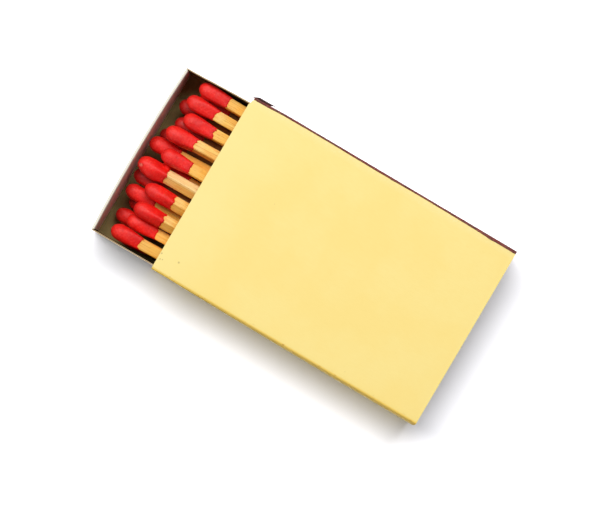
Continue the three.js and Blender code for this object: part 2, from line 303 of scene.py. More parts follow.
def printed_card():
    """Smooth yellow card: faint mottling, fibres, a few specks, nicks and wear on the folds, painted
    highlight that pales the coated side's top fold, painted shade that deepens the plain side's top
    fold to ochre, and painted sheen towards the mouth.
    """
    material, r = new_finish("printed_card")
    mm = r.millimetres()
    wear_and_light = r.attribute("wear_and_painted_light").out("Fac")
    cloud = r.noise(mm, 0.09, 3.0, 0.55).smooth(0.35, 0.65)
    fibre = r.noise(r.stretched(mm, 0.5, 2.2, 2.2), 1.6, 4.0, 0.6)
    base = r.mixed(cloud, paint(254, 227, 138), paint(254, 230, 145))
    base = r.mixed(fibre.smooth(0.3, 0.8) * 0.22, base, paint(250, 221, 130))
    x, y, z = r.parts(mm)
    # Painted sheen: the card is painted lighter towards the mouth.
    base = r.mixed(x.smooth(14.0, 27.0) * 0.5, base, paint(254, 235, 158))
    # Wear and painted highlight: the top fold on the coated side, which faces the lamp, is painted
    # paler in scuffed patches.
    scuff = r.noise(r.stretched(mm, 0.7, 0.7, 0.7), 2.4, 3.0, 0.7).smooth(0.5, 0.72)
    plain_side = y.smooth(-2.0, 2.0)
    base = r.mixed(wear_and_light * (1 - plain_side) * (0.3 + scuff * 0.5), base, paint(252, 240, 176))
    # Painted shade: the plain side's top fold, turned away from the lamp, is painted a deeper ochre.
    side = y.smooth(16.95, 17.35) * z.smooth(8.0, 11.0)
    base = r.mixed(side * 0.85, base, paint(255, 212, 88))
    nick = r.noise(r.stretched(mm, 0.8, 1.0, 1.0), 1.7, 2.0, 0.6).smooth(0.64, 0.72)
    nick = nick * wear_and_light * y.smooth(16.7, 17.1)
    base = r.mixed(nick * 0.6, base, paint(196, 132, 44))
    speck = r.noise(mm, 2.3, 1.0, 0.4).smooth(0.83, 0.86)
    for along, across, reach in SPECKS:
        off = r.joined(x - along, y - across, (z - SLEEVE_TOP) * 0.3)
        away = r.vector("LENGTH", off).out("Value") + (fibre - 0.5) * 0.3
        speck = speck.at_least((1 - away.smooth(reach * 0.4, reach)) * 1.1)
    base = r.mixed(speck * 0.4, base, paint(160, 130, 70))
    grain = r.noise(mm, 9.0, 3.0, 0.6)
    r.surface({
        "Base Color": base,
        "Roughness": 0.52 + fibre * 0.12 + wear_and_light * 0.15,
        "Specular IOR Level": 0.35,
        "Normal": r.bump(grain + fibre * 0.8, 0.012),
    })
    return material


def bare_board(name, light, dark, fleck, gloss=0.06, painted_lift=None):
    """Unprinted board: short fibres and flecks in a pulp of two tones. A tray's floor may get a painted
    lift, painted light that makes it paler, most in the corner that its wall shades.
    """
    material, r = new_finish(name)
    mm = r.millimetres()
    pulp = r.noise(mm, 0.8, 4.0, 0.65).smooth(0.3, 0.7)
    fibre = r.noise(r.stretched(mm, 0.7, 2.5, 2.5), 2.2, 3.0, 0.6)
    base = r.mixed(pulp, light, dark)
    base = r.mixed(fibre.smooth(0.55, 0.75) * 0.45, base, fleck)
    if painted_lift:
        # Painted light: the floor is painted paler away from its middle line, and most in the front
        # corner on the coated side, which that wall shades.
        x, y, z = r.parts(mm)
        corner = x.smooth(28.0, 36.0) * (-y).smooth(8.0, 15.0)
        share = 0.2 * abs(y).smooth(1.0, 6.0) + 0.8 * corner
        base = r.mixed((1 - z.smooth(1.0, 4.0)) * share, base, painted_lift)
    r.surface({
        "Base Color": base,
        "Roughness": 0.82 + fibre * 0.12,
        "Specular IOR Level": gloss,
        "Normal": r.bump(fibre + pulp * 0.5, 0.03),
    })
    return material


def friction_coat():
    """Brown friction coat: dark binder, pale and reddish grit, painted sheen in patches along the top
    edge, and a flake painted paler on its inner part and darker, as painted shade, on its outer half.
    """
    material, r = new_finish("friction_coat")
    mm = r.millimetres()
    z = r.parts(mm)[2]
    grit = r.node("ShaderNodeTexVoronoi", {"feature": "F1"}, {"Vector": mm, "Scale": 3.6})
    tone = r.node("ShaderNodeSeparateColor", None, {0: grit.out("Color")})
    broad = r.noise(mm, 0.35, 3.0, 0.6)
    base = r.mixed(broad.smooth(0.35, 0.65), paint(98, 54, 50), paint(116, 70, 62))
    base = r.mixed(tone.smooth(0.72, 0.8) * 0.5, base, paint(158, 112, 98))
    base = r.mixed((1 - tone).smooth(0.75, 0.85) * 0.5, base, paint(70, 36, 33))
    # Painted sheen: the coat is painted lighter in patches near the top fold.
    fold_sheen = z.smooth(11.2, 12.3) * r.noise(mm, 1.1, 3.0, 0.6).smooth(0.4, 0.6)
    base = r.mixed(fold_sheen * 0.6, base, paint(146, 68, 63))
    torn_and_shaded = r.attribute("wear_and_painted_light").out("Fac")
    base = r.mixed(torn_and_shaded.smooth(0.0, 0.2) * (1 - torn_and_shaded), base, paint(132, 104, 100))
    # Painted shade: the flake's outer half is painted near black.
    base = r.mixed(torn_and_shaded.smooth(0.3, 0.9) * 0.9, base, paint(40, 20, 20))
    r.surface({
        "Base Color": base,
        "Roughness": 0.8 + tone * 0.15,
        "Specular IOR Level": 0.25,
        "Normal": r.bump(1 - grit, 0.05),
    })
    return material


def match_wood():
    """Split softwood: long grain streaks, a tone for each stick, the low ones painted darker as painted
    shade or more golden, and faces turned to +Y tinted golden as painted shade.
    """
    material, r = new_finish("match_wood")
    local = r.attribute("local").out("Vector")
    own = r.attribute("match_id").out("Fac")
    tone = r.node("ShaderNodeTexWhiteNoise", {"noise_dimensions": "1D"}, {"W": own + 0.37})
    offset = r.joined(own * 7.3, own * 3.1, own * 5.7)
    at = r.vector("ADD", r.stretched(local, 0.07, 1.0, 1.0), offset)
    streak = r.noise(at, 2.4, 5.0, 0.62)
    pore = r.noise(r.vector("ADD", r.stretched(local, 0.25, 1.0, 1.0), offset), 7.0, 2.0, 0.5)
    base = r.mixed(streak.smooth(0.38, 0.62), paint(255, 207, 110), paint(242, 172, 76))
    base = r.mixed(tone.smooth(0.55, 0.95) * 0.2, base, paint(254, 218, 148))
    x, y = r.parts(local)[:2]
    cream = own.is_number(ODD_MATCH)
    base = r.mixed(cream * (-y).smooth(0.3, 0.95) * (0.4 + 0.4 * streak), base, paint(255, 228, 172))
    by_head = 1 - abs(x + HEAD_LENGTH + 0.6).smooth(0.2, 1.6)
    base = r.mixed(by_head * 0.4, base, paint(255, 224, 150))
    for golden_match in GOLDEN_MATCHES:
        base = r.mixed(own.is_number(golden_match) * 0.5, base, paint(255, 184, 72))
    base = r.mixed(pore.smooth(0.58, 0.74) * 0.55, base, paint(206, 134, 56))
    line = r.noise(r.vector("ADD", r.stretched(local, 0.04, 1.0, 1.0), offset), 4.6, 1.0, 0.5)
    base = r.mixed(line.smooth(0.58, 0.68) * 0.4, base, paint(200, 126, 50))
    # Painted shade: the low sticks are painted dark brown, except the listed ones that lie in light,
    # which are tinted golden.
    low = 1 - own.smooth(LAST_LOW_MATCH + 0.2, LAST_LOW_MATCH + 0.8)
    shaded_low = low
    for light_match in LIGHT_LOW_MATCHES:
        shaded_low = shaded_low * (1 - own.is_number(light_match))
    base = r.mixed((low - shaded_low) * 0.5, base, paint(255, 178, 56))
    base = r.mixed(shaded_low * 0.88, base, paint(104, 40, 10))
    # Painted shade: faces turned to +Y, away from the lamp, are tinted a deeper gold, less so on the
    # cream stick.
    facing_y = r.parts(r.node("ShaderNodeNewGeometry").out("Normal"))[1]
    shaded_flank_tint = facing_y.smooth(0.25, 0.65) * (0.85 - 0.55 * cream)
    base = r.mixed(shaded_flank_tint, base, paint(255, 236, 180), "MULTIPLY")
    r.surface({
        "Base Color": base,
        "Roughness": 0.62 + streak * 0.2,
        "Specular IOR Level": 0.2,
        "Normal": r.bump(streak + pore * 0.6, 0.06),
    })
    return material


def dipped_red():
    """Dipped match head: dense red paste, satin and grainy, with small pits and one chip; painted
    highlight towards the nose, painted glints among the grain, and painted shade in the pits and on the
    listed low heads.
    """
    material, r = new_finish("dipped_red")
    local = r.attribute("local").out("Vector")
    own = r.attribute("match_id").out("Fac")
    tone = r.node("ShaderNodeTexWhiteNoise", {"noise_dimensions": "1D"}, {"W": own + 0.11})
    at = r.vector("ADD", local, r.joined(own * 7.3, own * 3.1, own * 5.7))
    cloud = r.noise(at, 0.5, 3.0, 0.55)
    base = r.mixed(cloud.smooth(0.3, 0.7), paint(245, 14, 5), paint(220, 5, 3))
    base = r.mixed(tone * 0.3, base, paint(246, 38, 24))
    x = r.parts(local)[0]
    # Painted highlight: the head is painted lighter towards its nose.
    base = r.mixed(x.smooth(-3.5, -0.4) * 0.22, base, paint(238, 62, 54))
    grain = r.noise(at, 3.0, 2.0, 0.6)
    # Grain mottling; its light flecks are partly painted glints.
    base = r.mixed(grain.smooth(0.54, 0.72) * 0.3, base, paint(255, 98, 70))
    base = r.mixed((1 - grain).smooth(0.54, 0.74) * 0.34, base, paint(176, 2, 2))
    pits = r.node("ShaderNodeTexVoronoi", {"feature": "F1"}, {"Vector": at, "Scale": 2.6})
    pit = 1 - pits.smooth(0.06, 0.16)
    # Painted shade: the pits are painted darker in their hollows.
    base = r.mixed(pit * 0.45, base, paint(150, 10, 10))
    # Painted shade: the listed heads, which lie low in the gaps, are painted darker.
    for shaded_head in SHADED_HEADS:
        base = r.mixed(own.is_number(shaded_head) * 0.48, base, paint(110, 0, 0))
    chipped = own.is_number(ODD_MATCH)
    off = r.distance(local, CHIP_PLACE) + (grain - 0.5) * 0.6
    chip = chipped * (1 - off.smooth(0.22, 0.42))
    base = r.mixed(chip * 0.5, base, paint(248, 150, 128))
    base = r.mixed(chipped * (1 - off.smooth(0.02, 0.2)) * 0.5, base, paint(176, 74, 50))
    fine = r.noise(at, 7.0, 3.0, 0.6)
    r.surface({
        "Base Color": base,
        "Roughness": 0.4 + fine * 0.14,
        "Specular IOR Level": 0.38,
        "Normal": r.bump(fine * 0.5 + grain * 0.6 + cloud - pit * 0.8 - chip, 0.09),
    })
    return material


def studio_floor():
    """White floor that keeps the object's shadow and shows white where nothing shades it."""
    material, r = new_finish("studio_floor")
    mm = r.millimetres()
    drift = r.noise(mm, 0.004, 2.0, 0.5)
    pale = r.mixed(drift, paint(160, 160, 162), paint(163, 163, 164))
    bright = r.mixed(drift, paint(245, 245, 250), paint(247, 247, 251))
    plain = r.node("ShaderNodeBsdfDiffuse", None, {"Color": pale})
    white = r.node("ShaderNodeBsdfDiffuse", None, {"Color": bright})
    lift = r.node("ShaderNodeBsdfDiffuse", None, {"Color": paint(205, 204, 209)})
    glow = r.node("ShaderNodeEmission", None, {"Color": (1.0, 1.0, 1.0, 1.0), "Strength": 0.01})
    shown = r.node("ShaderNodeAddShader", None, {0: white, 1: lift})
    shown = r.node("ShaderNodeAddShader", None, {0: shown, 1: glow})
    floor = r.node("ShaderNodeMixShader", None, {0: r.seen_directly(), 1: plain, 2: shown})
    r.node("ShaderNodeOutputMaterial", None, {"Surface": floor})
    return material


def new_object(name, data):
    made = bpy.data.objects.new(name, data)
    bpy.context.scene.collection.objects.link(made)
    return made


def new_piece(name, mesh, body, nodes):
    piece = new_object(name, mesh)
    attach(piece, body)
    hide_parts(*nodes)


def quarter_arc(centre, radius, start, end, steps):
    """Points and outward normals of an arc between two headings, in quarter turns."""
    made = []
    for i in range(steps + 1):
        angle = (start + (end - start) * i / steps) * math.pi / 2
        normal = (math.cos(angle), math.sin(angle))
        made.append(((centre[0] + radius * normal[0], centre[1] + radius * normal[1]), normal))
    return made


def panel(start, end, normal, step):
    """Points of a flat panel between two folds, without its ends."""
    length = math.dist(start, end)
    count = max(1, round(length / step))
    points = []
    for i in range(1, count):
        share = i / count
        point = tuple(a + (b - a) * share for a, b in zip(start, end))
        points.append((point, normal))
    return points


def folded_path(runs, step):
    """Joins arcs and lone points into one path, with flat panels between them."""
    path = list(runs[0])
    for run in runs[1:]:
        start = path[-1][0]
        end, normal = run[0]
        path += panel(start, end, normal, step)
        path += run
    return path


class CardShell:
    """Sheets of card, each a path swept along stations, gathered into one mesh."""

    def __init__(self):
        self.points = []
        self.faces = []
        self.finishes = []
        self.wear_and_light = []

    def add_sheet(self, path, stations, card, place, wear_and_light=None, turn_round=False):
        """Adds a sheet. place bends its points, wear_and_light gives their wear and painted light,
        turn_round turns its faces.
        """
        count = len(path)
        first = len(self.points)
        for inward in (0.0, card):
            for station in stations:
                for k, (point, normal) in enumerate(path):
                    a = point[0] - normal[0] * inward
                    b = point[1] - normal[1] * inward
                    self.points.append(place(station, a, b, k))
                    self.wear_and_light.append(wear_and_light(station, k) if wear_and_light and inward == 0.0 else 0.0)
        layer = len(stations) * count

        def at(side, station, k):
            return first + side * layer + station * count + k

        end = len(stations) - 1
        rim = count - 1
        quads = []
        for s in range(end):
            t = s + 1
            for k in range(rim):
                quads.append((OUTER, (at(0, s, k), at(0, s, k + 1), at(0, t, k + 1), at(0, t, k))))
                quads.append((INNER, (at(1, s, k), at(1, t, k), at(1, t, k + 1), at(1, s, k + 1))))
            quads.append((CUT, (at(0, s, 0), at(0, t, 0), at(1, t, 0), at(1, s, 0))))
            quads.append((CUT, (at(0, s, rim), at(1, s, rim), at(1, t, rim), at(0, t, rim))))
        for k in range(rim):
            quads.append((CUT, (at(0, 0, k), at(1, 0, k), at(1, 0, k + 1), at(0, 0, k + 1))))
            quads.append((CUT, (at(0, end, k), at(0, end, k + 1), at(1, end, k + 1), at(1, end, k))))
        for finish, quad in quads:
            self.faces.append(quad[::-1] if turn_round else quad)
            self.finishes.append(finish)

    def mesh(self, name, materials):
        made = bpy.data.meshes.new(name)
        made.from_pydata([Vector(p) * MM for p in self.points], [], self.faces)
        for material in materials:
            made.materials.append(material)
        made.polygons.foreach_set("material_index", self.finishes)
        made.polygons.foreach_set("use_smooth", [True] * len(self.faces))
        wear_and_light_field = made.attributes.new("wear_and_painted_light", "FLOAT", "POINT")
        wear_and_light_field.data.foreach_set("value", self.wear_and_light)
        finish_of_edge = {}
        for finish, face in zip(self.finishes, self.faces):
            for a, b in zip(face, face[1:] + face[:1]):
                finish_of_edge.setdefault((min(a, b), max(a, b)), set()).add(finish)
        sharp = [len(finish_of_edge[tuple(sorted(edge.vertices))]) > 1 for edge in made.edges]
        made.attributes.new("sharp_edge", "BOOLEAN", "EDGE").data.foreach_set("value", sharp)
        made.update()
        return made


def spaced(start, end, count):
    return [start + (end - start) * i / (count - 1) for i in range(count)]


def soft_step(value, low, high):
    share = min(1.0, max(0.0, (value - low) / (high - low)))
    return share * share * (3 - 2 * share)


def size_of(node):
    low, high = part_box(node)
    return low / MM, high / MM


def make_sleeve(print_side, back_side, cut_edge):
    """The sleeve, one lapped strip. Gives back how its card bends, for the coat that lies on it."""
    low, high = size_of("sleeve")
    side = high.y
    height = high.z
    fold = SLEEVE_FOLD
    soft = PLAIN_SIDE_FOLD
    flap = -side + SLEEVE_CARD + LAP_GLUE
    flap_top = height - SLEEVE_CARD - LAP_INNER_SHORTFALL
    steps = 8
    runs = [
        [((flap, flap_top), (-1.0, 0.0))],
        quarter_arc((flap + fold, fold), fold, 2, 3, steps),
        quarter_arc((side - fold, fold), fold, 3, 4, steps),
        quarter_arc((side - soft, height - soft), soft, 0, 1, steps),
        quarter_arc((-side + fold, height - fold), fold, 1, 2, steps),
        [((-side, LAP_OUTER_LIFT), (-1.0, 0.0))],
    ]
    path = folded_path(runs, SLEEVE_STEP)
    bent = [0 < abs(n[0]) < 1 and 0 < abs(n[1]) < 1 for _, n in path]

    def place(x, y, z, k):
        share = (x - low.x) / (high.x - low.x)
        belly = math.sin(math.pi * min(1.0, max(0.0, z / height)))
        spread = (SIDE_BELLY if y > 0 else COATED_SIDE_BELLY) * (1 - share ** 3)
        across = min(1.0, abs(y) / (side - fold))
        y += math.copysign(spread * belly, y) * across
        crown = TOP_CROWN * (1 - across * across)
        x -= MOUTH_WEAR * soft_step(-y, side - 1.5, side - 0.2) * soft_step(x, high.x - 1.2, high.x)
        pinch = soft_step(x, high.x - 7.5, high.x - 0.5) * soft_step(z, height - 2.3, height - 0.5)
        y += MOUTH_PINCH * pinch * soft_step(-y, side - 1.5, side)
        z += crown if z > height / 2 else crown * 0.3
        return (x, y, z)

    def wear_and_light(x, k):
        near = bent[k] or bent[max(0, k - 1)] or bent[min(len(path) - 1, k + 1)]
        return 1.0 if near else 0.0

    shell = CardShell()
    shell.add_sheet(path, spaced(low.x, high.x, SLEEVE_STATIONS), SLEEVE_CARD, place, wear_and_light)
    mesh = shell.mesh("sleeve_card", [print_side, back_side, cut_edge])
    new_piece("sleeve_card", mesh, "sleeve", ["sleeve"])
    return place


def make_friction_coat(coat, sleeve_place):
    """The coat on one long side, which wraps the top fold, and the flake that stands off it."""
    low, high = size_of("sleeve")
    side = high.y
    height = high.z
    radius = SLEEVE_FOLD + COAT_BOND + COAT
    centre = (-side + SLEEVE_FOLD, height - SLEEVE_FOLD)
    bottom = LAP_OUTER_LIFT + COAT_MARGIN
    wrap = COAT_WRAP / (math.pi / 2)
    runs = [
        quarter_arc(centre, radius, 2 - wrap, 2, 8),
        [((centre[0] - radius, bottom), (-1.0, 0.0))],
    ]
    path = folded_path(runs, COAT_STEP)

    def edge_reach(x):
        """How far the coat's uneven edge reaches round the fold, as a share of the usual."""
        reach = 0.88 + 0.07 * math.sin(x * 0.31 + 1.0) + 0.02 * math.sin(x * 1.1)
        reach += 0.35 * soft_step(-x, 15.0, 26.0) + 0.1 * soft_step(x, 19.5, 26.5)
        for nick in COAT_NICKS:
            reach += 0.2 * max(0.0, 1 - abs(x - nick) / 0.6)
        return reach

    def place(x, y, z, k):
        if z > centre[1]:
            radius_here = math.hypot(y - centre[0], z - centre[1])
            angle = math.atan2(z - centre[1], centre[0] - y) * edge_reach(x)
            y = centre[0] - radius_here * math.cos(angle)
            z = centre[1] + radius_here * math.sin(angle)
        return sleeve_place(x, y, z, k)

    def flake_place(share, across, z, k):
        x = high.x - FLAKE_LENGTH * share
        outer = FLAKE_STANDS_OUT * (0.25 + 0.75 * soft_step(share, 0.0, 0.28) - 0.12 * share)
        inner = 0.9 * outer * soft_step(share, 0.62, 1.0)
        out = inner + (outer - inner) * across
        y = sleeve_place(x, -side, height - 1.0, k)[1] - out
        return (x, y, z - 0.35 * across * across)

    # Mask for the flake: low where it is painted paler, high on its outer half, which is painted dark
    # as painted shade.
    def tear_and_shade(share, k):
        return 0.15 + 0.85 * soft_step(k / FLAKE_CELLS + share * 1.2, 0.45, 0.75)

    shell = CardShell()
    shell.add_sheet(path, spaced(low.x, high.x, COAT_STATIONS), COAT, place)
    flake = [((i / FLAKE_CELLS, height - 0.5), (0.0, 1.0)) for i in range(FLAKE_CELLS + 1)]
    shell.add_sheet(flake, spaced(0.02, 1.0, FLAKE_STATIONS), COAT, flake_place, tear_and_shade)
    mesh = shell.mesh("striker_coat", [coat, coat, coat])
    new_piece("striker_coat", mesh, "sleeve", ["striker_strip"])


def make_tray(outside, inside, cut_edge):
    """The tray: a trough of thin card and two end walls, each folded over its top and down inside."""
    low, high = size_of("tray")
    middle = (low.y + high.y) / 2
    half = (high.y - low.y) / 2
    base = low.z
    height = high.z - low.z
    fold = TRAY_FOLD
    mouth = size_of("sleeve")[1].x

    def lean_in(x, y, z):
        out = soft_step(x, mouth, high.x + 1.0)
        lean = COATED_SIDE_LEAN if y < 0 else PLAIN_SIDE_LEAN
        return y + lean * out * (z / height)

    def wall_x(sign, y, z):
        across = min(1.0, abs(y) / half)
        bow = FRONT_BOW if sign > 0 else BACK_BOW
        end = high.x - CORNER_DRAW if sign > 0 else low.x + CORNER_DRAW
        return end + sign * bow * (1 - across ** 2.2) * (z / height)

    trough = folded_path([
        [((-half, height), (-1.0, 0.0))],
        quarter_arc((-half + fold, fold), fold, 2, 3, 6),
        quarter_arc((half - fold, fold), fold, 3, 4, 6),
        [((half, height), (1.0, 0.0))],
    ], TRAY_STEP)

    def trough_place(share, y, z, k):
        start = wall_x(-1, y, z) + TRAY_CARD * 0.6
        end = wall_x(1, y, z) - TRAY_CARD * 0.6
        x = start + (end - start) * share
        ripple = 0.05 * math.sin(x * 0.9 + y) * (z / height) ** 2
        return (x, middle + lean_in(x, y, z), base + z + ripple * 0.6)

    def end_path(lean):
        return folded_path([
            [((-fold - BASE_FLAP, 0.0), (0.0, -1.0))],
            quarter_arc((-fold, fold), fold, 3, 4, 6),
            quarter_arc((-TRAY_CARD, height - TRAY_CARD), TRAY_CARD, 0, 2, 10),
            [((-2 * TRAY_CARD - lean, TRAY_CARD + 0.05), (-1.0, 0.0))],
        ], TRAY_END_STEP)

    def end_place(sign, path):
        liner_start = [k for k, (point, normal) in enumerate(path) if normal[0] < -0.2][0]
        lined = half - TRAY_CARD - LINER_PLAY

        def place(share, outward, z, k):
            y = (lined if k >= liner_start else half) * share
            x = wall_x(sign, y, z) + sign * outward
            return (x, middle + lean_in(x, y, z), base + z)
        return place

    shell = CardShell()
    shell.add_sheet(trough, spaced(0.0, 1.0, TRAY_STATIONS), TRAY_SIDE_CARD, trough_place)
    for sign, lean in ((1, FRONT_LINER_LEAN), (-1, BACK_LINER_LEAN)):
        path = end_path(lean)
        place = end_place(sign, path)
        stations = spaced(-1.0, 1.0, TRAY_END_STATIONS)
        shell.add_sheet(path, stations, TRAY_END_CARD, place, turn_round=sign > 0)
    mesh = shell.mesh("tray_card", [outside, inside, cut_edge])
    new_piece("tray_card", mesh, "tray", ["tray"])


def match_names(row):
    """The matches of a row, told apart by the height of their tails."""
    names = sorted(n[:-6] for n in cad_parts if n.endswith("_stick"))
    heights = {n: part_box(n + "_stick")[0].z / MM for n in names}
    return [n for n in names if sum(heights[n] > level for level in ROW_HEIGHTS) == row]


def node_points(node):
    count = len(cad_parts[node].data.vertices)
    points = np.zeros(count * 3, np.float32)
    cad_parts[node].data.vertices.foreach_get("co", points)
    return np.unique(points.reshape(-1, 3).astype(float) / MM, axis=0)


def match_lie(name):
    """Where a match lies: its tip, its turn, its length and half the width of its head."""
    corners = node_points(name + "_stick")
    corners = corners[np.argsort(corners[:, 0])]
    tail = corners[:4].mean(axis=0)
    along = corners[-4:].mean(axis=0) - tail
    along /= np.linalg.norm(along)
    side = np.cross((0.0, 0.0, 1.0), along)
    side /= np.linalg.norm(side)
    up = np.cross(along, side)
    corner = corners[0] - tail
    roll = math.atan2(corner @ up, corner @ side) % (math.pi / 2) - math.pi / 4
    own_y = side * math.cos(roll) + up * math.sin(roll)
    own_z = np.cross(along, own_y)
    head = node_points(name + "_head")
    length = ((head - tail) @ along).max()
    girth = np.abs((head - tail) @ own_y).max()
    turn = Matrix((along, own_y, own_z)).transposed().to_euler()
    return tail + along * length, turn, length, girth


def match_points(name, row):
    """One point for each match of a row, carrying its lie."""
    names = match_names(row)
    lies = [match_lie(n) for n in names]
    mesh = bpy.data.meshes.new(name)
    mesh.from_pydata([Vector(lie[0]) * MM for lie in lies], [], [])
    fields = (
        ("tip", "FLOAT_VECTOR", "vector", [tuple(lie[0]) for lie in lies]),
        ("turn", "FLOAT_VECTOR", "vector", [tuple(lie[1]) for lie in lies]),
        ("girth", "FLOAT", "value", [lie[3] for lie in lies]),
        ("match_id", "FLOAT", "value", [float(n[-2:]) for n in names]),
    )
    for label, kind, slot, values in fields:
        field = mesh.attributes.new(label, kind, "POINT")
        field.data.foreach_set(slot, np.array(values, np.float32).ravel())
    return names, float(max(lie[2] for lie in lies)), mesh


class ShapeTree:
    """A Geometry Nodes tree with named inputs, which copies a grid to each point and then shapes it."""

    def __init__(self, name, inputs):
        self.tree = bpy.data.node_groups.new(name, "GeometryNodeTree")
        face = self.tree.interface
        face.new_socket("Geometry", in_out="INPUT", socket_type="NodeSocketGeometry")
        self.identifiers = {}
        for label, kind in inputs.items():
            made = face.new_socket(label, in_out="INPUT", socket_type=kind)
            self.identifiers[label] = made.identifier
        face.new_socket("Geometry", in_out="OUTPUT", socket_type="NodeSocketGeometry")
        self.recipe = Recipe(self.tree)
        self.given = self.recipe.node("NodeGroupInput")

    def input(self, label):
        return self.given.out(label)

    def carried(self, name, kind="FLOAT"):
        return self.recipe.node("GeometryNodeInputNamedAttribute", {"data_type": kind}, {"Name": name})

    def store(self, geometry, name, value, kind="FLOAT"):
        settings = {"data_type": kind, "domain": "POINT"}
        return self.recipe.node("GeometryNodeStoreNamedAttribute", settings, {
            "Geometry": geometry, "Name": name, "Value": value,
        })

    def copies(self, along, around):
        """A grid for each point: along runs from 0 to 1 down the match, around from 0 to 1 about it."""
        r = self.recipe
        grid = r.node("GeometryNodeMeshGrid", None, {
            "Size X": 1.0, "Size Y": 1.0, "Vertices X": along, "Vertices Y": around,
        })
        x, y = r.parts(r.node("GeometryNodeInputPosition"))[:2]
        marked = self.store(grid, "along", x + 0.5)
        marked = self.store(marked, "around", y + 0.5)
        spread = r.node("GeometryNodeInstanceOnPoints", None, {
            "Points": self.given.out("Geometry"), "Instance": marked,
        })
        return r.node("GeometryNodeRealizeInstances", None, {"Geometry": spread})

    def square_ring(self, around):
        """A point that goes round a square at an even pace."""
        def wave(phase):
            ramp = abs((around + phase).fraction() - 0.5)
            return (2.0 - 8.0 * ramp).at_least(-1.0).at_most(1.0)
        return wave(0.0), wave(0.25)

    def rounded(self, a, b, squareness):
        """Draws that point onto a rounded square of half width 1."""
        reach = (abs(a) ** squareness + abs(b) ** squareness) ** (-1.0 / squareness)
        return a * reach, b * reach

    def lay(self, geometry, local):
        """Lays each match in its place, keeps its own coordinates, closes its seams and finishes it."""
        r = self.recipe
        kept = self.store(geometry, "local", local, "FLOAT_VECTOR")
        turn = r.node("FunctionNodeEulerToRotation", None, {0: self.carried("turn", "FLOAT_VECTOR")})
        own_place = self.carried("local", "FLOAT_VECTOR")
        turned = r.node("FunctionNodeRotateVector", None, {0: own_place, 1: turn})
        place = r.vector("ADD", self.carried("tip", "FLOAT_VECTOR"), turned)
        place = r.vector("SCALE", place, Scale=MM)
        laid = r.node("GeometryNodeSetPosition", None, {"Geometry": kept, "Position": place})
        closed = r.node("GeometryNodeMergeByDistance", None, {"Geometry": laid, "Distance": SEAM * MM})
        smooth = r.node("GeometryNodeSetShadeSmooth", None, {"Geometry": closed})
        done = r.node("GeometryNodeSetMaterial", None, {
            "Geometry": smooth, "Material": self.input("Finish"),
        })
        r.node("NodeGroupOutput", None, {0: done})


def head_tree():
    """Heads: a square, ragged lip that swells into a round body and ends in a nose."""
    shape = ShapeTree("dipped_heads", {
        "Rings": "NodeSocketInt", "Sides": "NodeSocketInt", "Length": "NodeSocketFloat",
        "Nose": "NodeSocketFloat", "Lip": "NodeSocketFloat", "Lumps": "NodeSocketFloat",
        "Seed": "NodeSocketFloat", "Finish": "NodeSocketMaterial",
    })
    r = shape.recipe
    copies = shape.copies(shape.input("Rings"), shape.input("Sides"))
    along = shape.carried("along")
    own = shape.carried("match_id")
    girth = shape.carried("girth")
    a, b = shape.square_ring(shape.carried("around"))
    seed = shape.input("Seed")
    offset = r.joined(own * 13.7 + seed, own * 5.3, own * 9.1)
    gap = 1.0 / (shape.input("Rings") - 1.0)
    open_ring = along.above(0.5 * gap)
    inside = along.smooth(0.0, 0.08)
    body = ((along - 0.08) / 0.5).at_least(0.0).at_most(1.0)
    nose = ((along - 0.58) / 0.42).at_least(0.0).at_most(1.0) * (math.pi / 2)
    jag = r.noise(r.vector("ADD", r.joined(a * 1.3, b * 1.3, 0.0), offset), 1.1, 3.0, 0.6)
    own_length = r.noise(offset, 0.73, 0.0, 0.5)
    horn = abs(a * b) ** 1.5
    tooth = r.noise(r.vector("ADD", r.joined(a * 1.3, b * 1.3, 4.0), offset), 2.9, 2.0, 0.6) - 0.5
    ragged = (jag - 0.5) * 0.2 * (0.4 + horn)
    length = shape.input("Length") * (0.86 + 0.2 * own_length + ragged + tooth * 0.15 + 0.05 * horn)
    odd = own.is_number(ODD_MATCH)
    length = length * (1.0 - 0.07 * odd)
    lip = STICK_WIDTH / 2 + shape.input("Lip")
    swell = (body * (math.pi / 2)).sine() ** 1.15
    half = (lip + (girth - lip) * swell) * (nose.cosine().at_least(0.0) ** 0.92)
    half = half * (0.75 + 0.25 * inside) * open_ring
    x = -length + body * (length - shape.input("Nose")) + shape.input("Nose") * nose.sine()
    x = x * open_ring - shape.input("Length") * 0.9 * (1.0 - open_ring)
    squareness = 8.5 - 6.3 * (body ** 0.28)
    y, z = shape.rounded(a, b, squareness)
    plain = r.joined(x, y * half, z * half)
    lump = r.noise(r.vector("ADD", plain, offset), 0.55, 2.0, 0.5) - 0.5
    half = half * (1.0 + lump * shape.input("Lumps") * body)
    bulge = 1 - r.distance(r.joined(x, y * half, z * half), BULGE_PLACE).smooth(0.3, 2.8)
    half = half * (1.0 + odd * (0.05 + 0.2 * bulge))
    drip = 1 - r.distance(r.joined(x, y * half, z * half), DRIP_PLACE).smooth(0.15, 0.85)
    half = half * (1.0 + 0.36 * odd * drip)
    shape.lay(copies, r.joined(x, y * half, z * half))
    return shape


